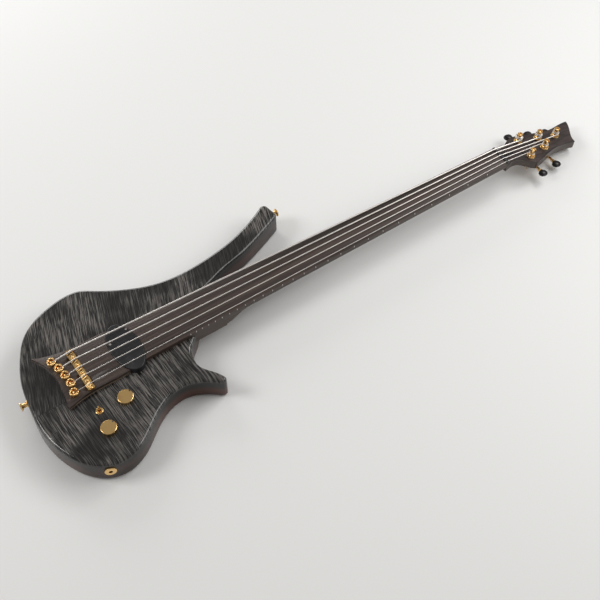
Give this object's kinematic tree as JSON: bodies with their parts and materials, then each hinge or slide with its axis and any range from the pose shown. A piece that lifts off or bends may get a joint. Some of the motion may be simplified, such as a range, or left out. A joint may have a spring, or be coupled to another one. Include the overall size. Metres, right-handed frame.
{
  "type": "electric bass guitar",
  "caption": "Fretless solid-body electric bass guitar with flamed top, oval pickup, gold bridge and geared machine heads, lying face up.",
  "frame": {"origin": "on the body's flat back plane, under the middle of the saddle line", "axes": "+X along the neck towards the headstock, +Y towards the low string's side, +Z out of the face"},
  "size_m": [1.1677, 0.3396, 0.0628],
  "materials": {
    "body_wood": "dark stained mahogany under gloss lacquer",
    "flamed_top": "black stained flamed maple under gloss lacquer",
    "neck_wood": "oiled dark laminated neck wood, satin",
    "riser_wood": "light maple strip, satin",
    "head_veneer": "dark figured veneer, gloss",
    "board_wood": "unlined rosewood board, satin",
    "ebony": "ebony, satin",
    "nut_black": "black composite",
    "steel": "steel",
    "gold": "polished gold plate",
    "pickup_black": "satin black",
    "coil_copper": "enamelled wire",
    "magnet": "dark grey",
    "base_steel": "plated steel",
    "string_steel": "round-wound steel",
    "pot_steel": "plated steel",
    "cover_black": "satin black",
    "wire_black": "insulation"
  },
  "bodies": {
    "instrument": {"board_riser": "riser_wood", "body_core": "body_wood", "body_top": "flamed_top", "bridge_rail": "gold", "cavity_cover": "cover_black", "fingerboard": "board_wood", "headstock_veneer": "head_veneer", "neck": "neck_wood", "neck_ferrules": "gold", "neck_screws": "steel", "nut": "nut_black", "output_jack": "gold", "panel_nuts": "gold", "pickup_baseplate": "base_steel", "pickup_coils": "coil_copper", "pickup_cover": "pickup_black", "pickup_magnets": "magnet", "pots": "pot_steel", "rail_screws": "gold", "small_screws": "steel", "strap_buttons": "gold", "string_a": "string_steel", "string_anchors": "gold", "string_b": "string_steel", "string_d": "string_steel", "string_e": "string_steel", "string_g": "string_steel", "tail_plate": "board_wood", "toggle_body": "gold", "truss_cover": "ebony", "truss_rod": "steel", "tuner_bushings": "gold", "tuner_plates": "gold", "wiring": "wire_black"},
    "tuner_key_b": {"worm_b": "gold", "key_b": "ebony"},
    "tuner_post_b": {"post_b": "gold"},
    "tuner_key_e": {"worm_e": "gold", "key_e": "ebony"},
    "tuner_post_e": {"post_e": "gold"},
    "tuner_key_a": {"worm_a": "gold", "key_a": "ebony"},
    "tuner_post_a": {"post_a": "gold"},
    "tuner_key_d": {"worm_d": "gold", "key_d": "ebony"},
    "tuner_post_d": {"post_d": "gold"},
    "tuner_key_g": {"worm_g": "gold", "key_g": "ebony"},
    "tuner_post_g": {"post_g": "gold"},
    "saddle_block_b": {"saddle_b": "gold"},
    "saddle_block_e": {"saddle_e": "gold"},
    "saddle_block_a": {"saddle_a": "gold"},
    "saddle_block_d": {"saddle_d": "gold"},
    "saddle_block_g": {"saddle_g": "gold"},
    "volume_control": {"volume_knob": "gold", "volume_shaft": "pot_steel"},
    "tone_control": {"tone_knob": "gold", "tone_shaft": "pot_steel"},
    "toggle": {"toggle_lever": "gold"},
    "rod_adjuster": {"truss_nut": "steel"}
  },
  "joints": [
    {"name": "key_turn_b", "type": "hinge", "parent": "instrument", "child": "tuner_key_b", "pos_m": [0.93641, 0.024, 0.01682], "axis": [0, 1, 0], "continuous": true},
    {"name": "post_turn_b", "type": "hinge", "parent": "instrument", "child": "tuner_post_b", "pos_m": [0.92983, 0.024, 0.03922], "axis": [0.1564, 0, 0.9877], "continuous": true},
    {"name": "key_turn_e", "type": "hinge", "parent": "instrument", "child": "tuner_key_e", "pos_m": [0.97838, 0.0145, 0.01017], "axis": [0, 1, 0], "continuous": true},
    {"name": "post_turn_e", "type": "hinge", "parent": "instrument", "child": "tuner_post_e", "pos_m": [0.97181, 0.0145, 0.03257], "axis": [0.1564, 0, 0.9877], "continuous": true},
    {"name": "key_turn_a", "type": "hinge", "parent": "instrument", "child": "tuner_key_a", "pos_m": [1.01443, 0.005, 0.00446], "axis": [0, 1, 0], "continuous": true},
    {"name": "post_turn_a", "type": "hinge", "parent": "instrument", "child": "tuner_post_a", "pos_m": [1.00786, 0.005, 0.02686], "axis": [0.1564, 0, 0.9877], "continuous": true},
    {"name": "key_turn_d", "type": "hinge", "parent": "instrument", "child": "tuner_key_d", "pos_m": [0.97196, -0.0125, 0.01119], "axis": [0, -1, 0], "continuous": true},
    {"name": "post_turn_d", "type": "hinge", "parent": "instrument", "child": "tuner_post_d", "pos_m": [0.96539, -0.0125, 0.03359], "axis": [0.1564, 0, 0.9877], "continuous": true},
    {"name": "key_turn_g", "type": "hinge", "parent": "instrument", "child": "tuner_key_g", "pos_m": [0.93048, -0.021, 0.01776], "axis": [0, -1, 0], "continuous": true},
    {"name": "post_turn_g", "type": "hinge", "parent": "instrument", "child": "tuner_post_g", "pos_m": [0.9239, -0.021, 0.04016], "axis": [0.1564, 0, 0.9877], "continuous": true},
    {"name": "saddle_slide_b", "type": "slide", "parent": "instrument", "child": "saddle_block_b", "axis": [1, 0, 0], "range_m": [0, 0.0025]},
    {"name": "saddle_slide_e", "type": "slide", "parent": "instrument", "child": "saddle_block_e", "axis": [1, 0, 0], "range_m": [0, 0.0025]},
    {"name": "saddle_slide_a", "type": "slide", "parent": "instrument", "child": "saddle_block_a", "axis": [1, 0, 0], "range_m": [0, 0.0025]},
    {"name": "saddle_slide_d", "type": "slide", "parent": "instrument", "child": "saddle_block_d", "axis": [1, 0, 0], "range_m": [0, 0.0025]},
    {"name": "saddle_slide_g", "type": "slide", "parent": "instrument", "child": "saddle_block_g", "axis": [1, 0, 0], "range_m": [0, 0.0025]},
    {"name": "volume_turn", "type": "hinge", "parent": "instrument", "child": "volume_control", "pos_m": [0.036, -0.083, 0.05], "axis": [0, 0, 1], "range_deg": [-150, 150]},
    {"name": "tone_turn", "type": "hinge", "parent": "instrument", "child": "tone_control", "pos_m": [-0.012, -0.119, 0.05], "axis": [0, 0, 1], "range_deg": [-150, 150]},
    {"name": "toggle_throw", "type": "hinge", "parent": "instrument", "child": "toggle", "pos_m": [-0.01, -0.082, 0.0435], "axis": [1, 0, 0], "range_deg": [-13, 13]},
    {"name": "truss_nut_turn", "type": "hinge", "parent": "instrument", "child": "rod_adjuster", "pos_m": [0.8748, 0, 0.041], "axis": [1, 0, 0], "range_deg": [-180, 180]}
  ],
  "couplings": [
    {"joint": "post_turn_b", "follows": "key_turn_b", "ratio": -0.05},
    {"joint": "post_turn_e", "follows": "key_turn_e", "ratio": -0.05},
    {"joint": "post_turn_a", "follows": "key_turn_a", "ratio": -0.05},
    {"joint": "post_turn_d", "follows": "key_turn_d", "ratio": 0.05},
    {"joint": "post_turn_g", "follows": "key_turn_g", "ratio": 0.05}
  ]
}
